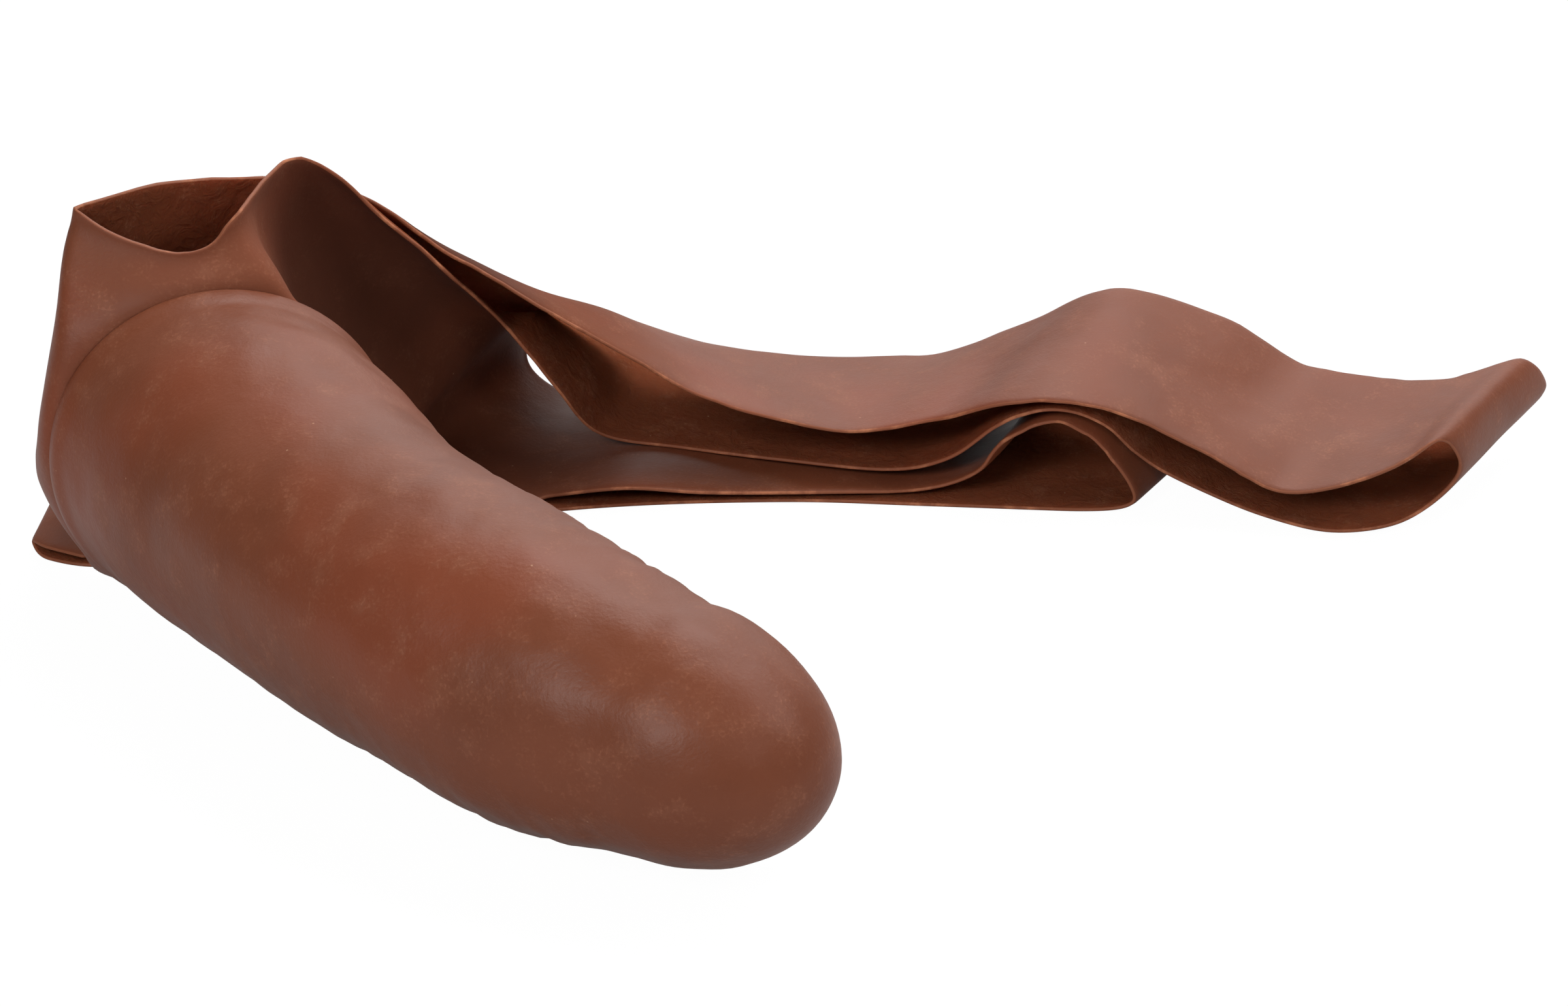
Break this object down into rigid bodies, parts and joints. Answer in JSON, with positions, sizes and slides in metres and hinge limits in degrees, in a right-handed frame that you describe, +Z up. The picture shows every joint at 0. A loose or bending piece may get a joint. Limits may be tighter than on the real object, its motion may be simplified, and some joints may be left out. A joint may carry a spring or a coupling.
{
  "type": "rubber sheath belt",
  "caption": "Hollow domed rubber sheath moulded onto a thin rubber belt with a waistband and a lower band, lying flopped on a table.",
  "frame": {"origin": "middle of the object's footprint box, on the table", "axes": "+Z up; +X towards the free end of the waistband; +Y to the back, away from the side that the sheath points to"},
  "size_m": [0.3372, 0.251, 0.0861],
  "materials": {
    "sheath_rubber": "satin, cloudy reddish brown",
    "ring_rubber": "satin",
    "belt_rubber": "satin outside, rough and dull inside"
  },
  "bodies": {
    "root": {"sheath": "sheath_rubber", "root_ring": "ring_rubber", "front_panel": "belt_rubber", "waistband": "belt_rubber", "lower_band": "belt_rubber"}
  },
  "joints": []
}
